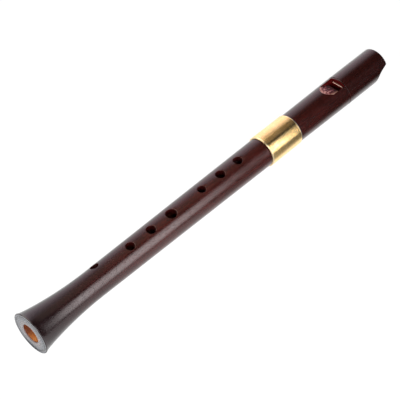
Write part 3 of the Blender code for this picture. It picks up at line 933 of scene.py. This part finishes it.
def holes_cutter():
    """All finger holes and the thumb hole as one cutting shape."""
    shape = bmesh.new()
    for from_foot, radius, turn in FINGER_HOLES:
        from_foot, radius = from_foot * MM, radius * MM
        turned = Matrix.Rotation(-math.radians(turn), 4, "X")
        round_bore = Matrix.Translation((0, 0, AXIS_Z)) @ turned
        rings = [[shape.verts.new(round_bore @ Vector(p)) for p in ring]
                 for ring in hole_rings(from_foot, radius)]
        join_sides(shape, rings)
        for ring in (rings[0], rings[-1]):
            middle = sum((v.co for v in ring), Vector()) / len(ring)
            hub = shape.verts.new(middle)
            for i in range(len(ring)):
                shape.faces.new((ring[i], ring[(i + 1) % len(ring)], hub))
    bmesh.ops.recalc_face_normals(shape, faces=shape.faces)
    return shape_object("hole_cutter", shape, hole_wood)


# %% Turn and bore the body
body = turn_piece("turned_body", body_template(), (stained_wood, bore_wood, turned_end),
                  flare_from=x_at(EDGE_ROUND), flare_length=FLARE_LENGTH - EDGE_ROUND,
                  flare_spread=FLARE_SPREAD, flare_curve=FLARE_CURVE,
                  lip_spread=LIP_SPREAD, lip_length=LIP_LENGTH)
tidy_mesh(body)
body = carve(body, holes_cutter())
tidy_mesh(body)
ride_as(body, "body", "body_joint")

# %% [markdown]
# ## The sleeve and the corks
#
# The brass sleeve is a plain tube whose outer edges are rounded over so that they don't catch the
# hand. Inside, a cork band round each tenon grips it. The bands are crowned a little, because cork
# is glued on proud and sanded down from both ends.

# %% Sleeve
SLEEVE_START = sleeve_low.x - cad_low.x
SLEEVE_END = sleeve_high.x - cad_low.x
SLEEVE_WALL = 1.2 * MM
SLEEVE_EDGE_ROUND = 0.5 * MM


def sleeve_template():
    inner = SLEEVE_RADIUS - SLEEVE_WALL
    left = quarter_round(SLEEVE_START, SLEEVE_RADIUS, SLEEVE_EDGE_ROUND, 1)[::-1]
    right = quarter_round(SLEEVE_END, SLEEVE_RADIUS, SLEEVE_EDGE_ROUND, -1)
    right[-1] = (*right[-1][:2], END, 0)
    chamfer = 0.2 * MM
    inside = [(SLEEVE_END, inner + chamfer, BORE, 0), (SLEEVE_END - chamfer, inner, BORE, 0),
              (SLEEVE_START + chamfer, inner, BORE, 0), (SLEEVE_START, inner + chamfer, END, 0)]
    return left + right + inside


sleeve = turn_piece("brass_sleeve", sleeve_template(), (brass, brass, shaded_brass_end), steps=256)
tidy_mesh(sleeve)
ride_as(sleeve, "sleeve", "sleeve")

# %% Cork lappings
LAPPING_THICKNESS = 0.9 * MM
LAPPING_SINK = 0.25 * MM
HEAD_LAPPING = (229.55 * MM, 235.15 * MM)


def lapping_template(start, end):
    """A cork band with soft, slightly sunken ends."""
    inner = LAPPING_RADIUS - LAPPING_THICKNESS
    points = [(start, inner, OUTSIDE, 0)]
    for i in range(13):
        along = i / 12
        sunk = LAPPING_SINK * (2 * along - 1) ** 6
        points.append((start + (end - start) * along, LAPPING_RADIUS - sunk, OUTSIDE, 0))
    points.append((end, inner, OUTSIDE, 0))
    return points


for rider, ends in (("body", BODY_LAPPING), ("head", HEAD_LAPPING)):
    name = rider + "_lapping"
    band = turn_piece("cork_" + name, lapping_template(*ends), (cork, cork, cork), steps=128)
    tidy_mesh(band)
    ride_as(band, rider, name)

# %% [markdown]
# ## The head
#
# The head is turned like the body, with one fine ring cut beside the window. Then the cuts are
# made: the windway over the block, the window with its ramp down to the labium's edge, the throat
# that joins them to the bore, and the hollow under the beak.

# %% Head sizes
HEAD_TURN = math.radians(5.6)
HEAD_SHOULDER = 237.7 * MM
HEAD_SHOULDER_RADIUS = 11.1 * MM
HEAD_TENON_START = 227.0 * MM
HEAD_BORE_RADIUS = 7.3 * MM
TIP_ROUND = 0.9 * MM
RING_FROM_TIP = 41.1 * MM
RING_WIDTH = 0.8 * MM
RING_DEPTH = 0.5 * MM
RAMP_LENGTH = 12.5 * MM
LABIUM_HEIGHT = HEAD_BORE_RADIUS + 0.25 * MM
UNDERCUT_HEIGHT = LABIUM_HEIGHT - 0.3 * MM
LABIUM_UNDERCUT = 6.0 * MM
WINDOW_SIDE_LEAN = math.radians(30)
WINDWAY_WIDTH = 10.0 * MM
WINDWAY_ENTRY_WIDTH = 11.6 * MM
WINDWAY_FLOOR = HEAD_BORE_RADIUS - 0.1 * MM
WINDWAY_EXIT_HEIGHT = 1.0 * MM
WINDWAY_ENTRY_HEIGHT = 1.5 * MM
WINDWAY_CHAMFER = 0.34 * MM
PAST = 4 * MM


def in_head(x, across, up):
    """A point of the head, measured from its own axis and turned with it in the sleeve."""
    sine, cosine = math.sin(HEAD_TURN), math.cos(HEAD_TURN)
    return (x, across * cosine + up * sine, AXIS_Z + up * cosine - across * sine)


def head_template():
    ring = TIP - RING_FROM_TIP
    points = tenon(HEAD_SHOULDER, HEAD_TENON_START, HEAD_SHOULDER_RADIUS, HEAD_LAPPING, -1)[::-1]
    finishes = [END] + [OUTSIDE] * 6 + [END, OUTSIDE]
    points = [(x, r, f, 0) for (x, r, _, _), f in zip(points, finishes)]
    start = HEAD_SHOULDER + SHOULDER_CHAMFER
    for i in range(1, 21):
        share = i / 20
        radius = HEAD_SHOULDER_RADIUS + (HEAD_RADIUS - HEAD_SHOULDER_RADIUS) * share
        points.append((start + (ring - RING_WIDTH / 2 - start) * share, radius, OUTSIDE, 0))
    for i in range(1, 8):
        turn = math.pi * i / 8
        points.append((ring - RING_WIDTH / 2 * math.cos(turn),
                       HEAD_RADIUS - RING_DEPTH * math.sin(turn), OUTSIDE, 0))
    straight = RING_FROM_TIP - RING_WIDTH / 2 - TIP_ROUND
    for i in range(12):
        points.append((ring + RING_WIDTH / 2 + straight * i / 12, HEAD_RADIUS, OUTSIDE, 0))
    tip = quarter_round(TIP, HEAD_RADIUS, TIP_ROUND, -1)
    tip[-1] = (*tip[-1][:2], END, 0)
    points += tip
    points += [(TIP, HEAD_BORE_RADIUS, BORE, 0), (HEAD_TENON_START, HEAD_BORE_RADIUS, END, 0)]
    return points


# %% [markdown]
# Each cut is a loft: a few sections across the bore, joined into one closed shape. Its floor and
# its walls take different finishes, so that the ramp can be pale between red walls.

# %% Cutters for the head


def join_rings(shape, rings, floor_finish=0, wall_finish=0):
    """Join rings of points and close both ends."""
    join_sides(shape, rings, floor_finish, wall_finish)
    for ring in (rings[0], rings[-1]):
        shape.faces.new(ring).material_index = wall_finish
    bmesh.ops.recalc_face_normals(shape, faces=shape.faces)


def loft_cutter(name, sections, floor_finish, wall_finish):
    """A cutter through sections (from_foot, half width low, low, half width high, high)."""
    shape = bmesh.new()
    rings = []
    for from_foot, low_half, low, high_half, high in sections:
        corners = ((-low_half, low), (low_half, low), (high_half, high), (-high_half, high))
        rings.append([shape.verts.new(in_head(x_at(from_foot), y, z)) for y, z in corners])
    join_rings(shape, rings, 0, 1)
    made = shape_object(name, shape, floor_finish)
    made.data.materials.append(wall_finish)
    return made


def along_windway(from_foot, at_window, at_tip):
    """A size of the windway, which changes evenly from the window to the tip."""
    along = (from_foot - WINDOW_WALL) / (TIP - WINDOW_WALL)
    return at_window + (at_tip - at_window) * along


def windway_half(from_foot):
    return along_windway(from_foot, WINDWAY_WIDTH, WINDWAY_ENTRY_WIDTH) / 2


def windway_roof(from_foot):
    return WINDWAY_FLOOR + along_windway(from_foot, WINDWAY_EXIT_HEIGHT, WINDWAY_ENTRY_HEIGHT)


def windway_cutter():
    mouth = windway_roof(WINDOW_WALL) + WINDWAY_CHAMFER
    inside = WINDOW_WALL + WINDWAY_CHAMFER
    stations = ((WINDOW_WALL - FIT, mouth), (WINDOW_WALL, mouth), (inside, windway_roof(inside)),
                (TIP + PAST, windway_roof(TIP + PAST)))
    sections = []
    for from_foot, roof in stations:
        half = windway_half(max(from_foot, WINDOW_WALL))
        sections.append((from_foot, half, 0, half, roof))
    return loft_cutter("windway_cutter", sections, cut_wall, cut_wall)


def window_cutter():
    slope = (HEAD_RADIUS - LABIUM_HEIGHT) / RAMP_LENGTH
    lean = math.tan(WINDOW_SIDE_LEAN)
    half = WINDWAY_WIDTH / 2
    top = HEAD_RADIUS + PAST
    top_half = half + (top - LABIUM_HEIGHT) * lean
    end = LABIUM_EDGE - RAMP_LENGTH - PAST / 2
    end_height = LABIUM_HEIGHT + (LABIUM_EDGE - end) * slope
    end_half = half + (end_height - LABIUM_HEIGHT) * lean
    return loft_cutter("window_cutter", [
        (end, end_half, end_height, top_half, top),
        (LABIUM_EDGE, half, LABIUM_HEIGHT, top_half, top),
        (WINDOW_WALL, half, LABIUM_HEIGHT, top_half, top),
    ], ramp_wood, cut_wall)


def throat_cutter():
    half = WINDWAY_WIDTH / 2
    return loft_cutter("throat_cutter", [
        (LABIUM_EDGE - LABIUM_UNDERCUT, half, 0, half, UNDERCUT_HEIGHT - 0.6 * MM),
        (LABIUM_EDGE, half, 0, half, UNDERCUT_HEIGHT),
        (LABIUM_EDGE + 0.03 * MM, half, 0, half, LABIUM_HEIGHT + FIT),
        (WINDOW_WALL, half, 0, half, LABIUM_HEIGHT + FIT),
    ], cut_wall, cut_wall)


# %% Beak cutter
BEAK_CUT_FROM_TIP = 9.4 * MM
BEAK_TIP_HEIGHT = 5.3 * MM
BEAK_SLOPE = math.radians(21.4)
BEAK_WALL_SLOPE = math.radians(68)
BEAK_CORNER = 9.7 * MM


def beak_outline():
    """The hollow's side view: a short wall and a long round that runs out to the tip."""
    wall_run, rise = 1 / math.tan(BEAK_WALL_SLOPE), math.tan(BEAK_SLOPE)
    wall_foot = x_at(TIP - BEAK_CUT_FROM_TIP)
    corner_z = (BEAK_TIP_HEIGHT - BEAK_CUT_FROM_TIP * rise) / (1 - wall_run * rise)
    corner = Vector((wall_foot + corner_z * wall_run, corner_z))
    turning = BEAK_WALL_SLOPE - BEAK_SLOPE
    sine, cosine = math.sin(BEAK_SLOPE), math.cos(BEAK_SLOPE)
    touch = corner + Vector((cosine, sine)) * BEAK_CORNER * math.tan(turning / 2)
    centre = touch + Vector((sine, -cosine)) * BEAK_CORNER
    outline = []
    for i in range(25):
        angle = math.pi / 2 + BEAK_SLOPE + turning * i / 24
        outline.append(tuple(centre + Vector((math.cos(angle), math.sin(angle))) * BEAK_CORNER))
    low = -HEAD_RADIUS - PAST
    outline.append((wall_foot + low * wall_run, low))
    outline.append((x_at(TIP) + PAST, low))
    outline.append((x_at(TIP) + PAST, BEAK_TIP_HEIGHT + PAST * rise))
    return outline


def beak_cutter(finish):
    shape = bmesh.new()
    half = HEAD_RADIUS + PAST
    near = [shape.verts.new(in_head(x, -half, z)) for x, z in beak_outline()]
    pushed = bmesh.ops.extrude_face_region(shape, geom=[shape.faces.new(near)])
    moved = [v for v in pushed["geom"] if isinstance(v, bmesh.types.BMVert)]
    across = Vector(in_head(0, 2 * half, 0)) - Vector(in_head(0, 0, 0))
    bmesh.ops.translate(shape, verts=moved, vec=across)
    bmesh.ops.recalc_face_normals(shape, faces=shape.faces)
    return shape_object("beak_cutter", shape, finish)


# %% Turn and cut the head
head = turn_piece("turned_head", head_template(), (stained_wood, bore_wood, turned_end))
tidy_mesh(head)
for cutter in (windway_cutter(), window_cutter(), throat_cutter(), beak_cutter(stained_wood)):
    head = carve(head, cutter)
tidy_mesh(head)
ride_as(head, "head", "head_joint")

# %% [markdown]
# ## The block
#
# The block is a cedar plug in the head's bore. Its flat top is the windway's floor, with a small
# chamfer at the window, whose bright line is a painted highlight: a pale band in the cedar's
# colour. It is pushed in before the beak is cut, so the beak's hollow cuts both.

# %% Block
BLOCK_RADIUS = HEAD_BORE_RADIUS - FIT


def block_outline(half):
    """The block's section: a round plug with a flat key on top."""
    side = math.asin(half / BLOCK_RADIUS)
    points = [(-half, WINDWAY_FLOOR), (half, WINDWAY_FLOOR)]
    for i in range(121):
        turn = side + (math.tau - 2 * side) * i / 120
        points.append((BLOCK_RADIUS * math.sin(turn), BLOCK_RADIUS * math.cos(turn)))
    return points


def make_block():
    shape = bmesh.new()
    rings = []
    chamfered = WINDOW_WALL + WINDWAY_CHAMFER
    for from_foot, drop in ((WINDOW_WALL, WINDWAY_CHAMFER), (chamfered, 0), (TIP, 0)):
        outline = block_outline(windway_half(from_foot) - FIT)
        rings.append([shape.verts.new(in_head(x_at(from_foot), y, z - (drop if i < 2 else 0)))
                      for i, (y, z) in enumerate(outline)])
    join_rings(shape, rings)
    shape.faces.ensure_lookup_table()
    shape.faces[-2].material_index = 1
    made = shape_object("cedar_block", shape, cedar)
    made.data.materials.append(cut_wall)
    return made


block = carve(make_block(), beak_cutter(cedar))
tidy_mesh(block)
ride_as(block, "block", "block")
